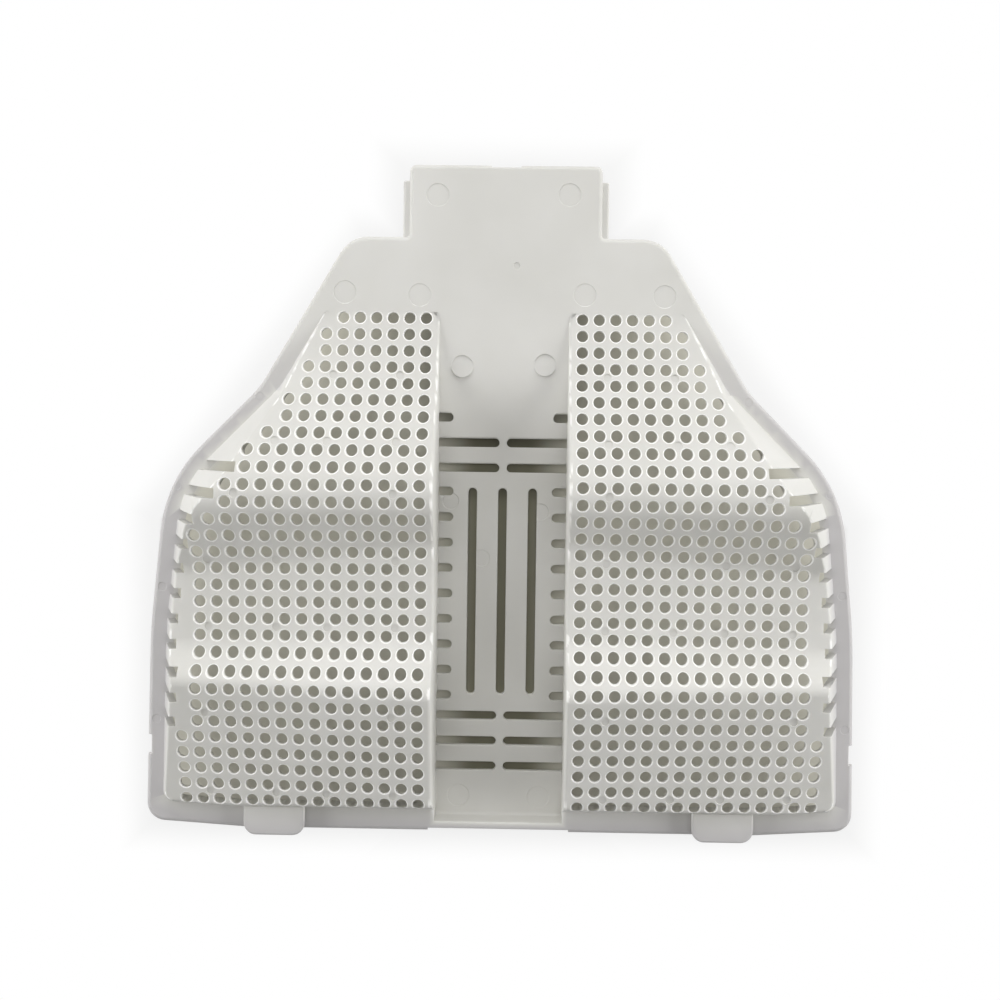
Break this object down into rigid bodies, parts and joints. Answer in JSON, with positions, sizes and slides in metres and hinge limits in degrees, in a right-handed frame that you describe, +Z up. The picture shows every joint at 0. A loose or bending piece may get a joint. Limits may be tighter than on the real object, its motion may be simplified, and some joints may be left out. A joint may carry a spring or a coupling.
{
  "type": "robot vacuum sink filter",
  "caption": "Moulded drain filter plate: two raised wavy perforated wings, a sunken slotted channel between them, comb-slotted side walls, two front tongues and a flat neck.",
  "frame": {"origin": "middle of the bounding box in plan, at the level of the channel's underside, on which the part lies", "axes": "+Z up, out of the wings' tops; +Y towards the neck; +X to the right with the neck at the far end"},
  "size_m": [0.1722, 0.1624, 0.0317],
  "materials": {
    "plastic": "fine satin moulded surface"
  },
  "bodies": {
    "root": {"sink_filter": "plastic"}
  },
  "joints": []
}
